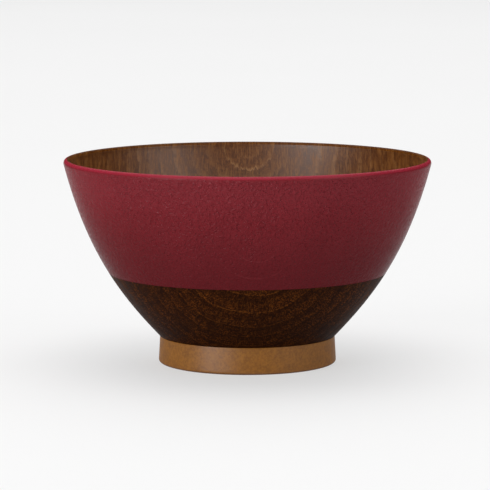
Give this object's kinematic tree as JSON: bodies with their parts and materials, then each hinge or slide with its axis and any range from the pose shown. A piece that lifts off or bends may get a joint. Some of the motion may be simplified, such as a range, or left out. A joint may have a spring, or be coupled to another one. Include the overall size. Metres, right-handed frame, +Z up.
{
  "type": "rice bowl",
  "caption": "Round rice bowl with wood-grained body, red upper skin, dark brown lower skin and a separate tan foot ring.",
  "frame": {"origin": "centre of the plane the foot ring stands on", "axes": "+Z up along the bowl's axis of turning; +X to the right and +Y away when seen from the front"},
  "size_m": [0.1174, 0.1174, 0.0655],
  "materials": {
    "bowl_brown": "wood-grained brown, satin clear coat",
    "coat_red": "satin crimson coat over fine grain",
    "coat_dark_brown": "dark brown coat with lighter grain lines, satin",
    "foot_tan": "smooth tan, satin",
    "glue_amber": "cured glue, hidden in the joint"
  },
  "bodies": {
    "root": {"bowl_body": "bowl_brown", "red_colour_skin": "coat_red", "dark_brown_skin": "coat_dark_brown", "foot_ring": "foot_tan", "foot_glue_ring": "glue_amber"}
  },
  "joints": []
}
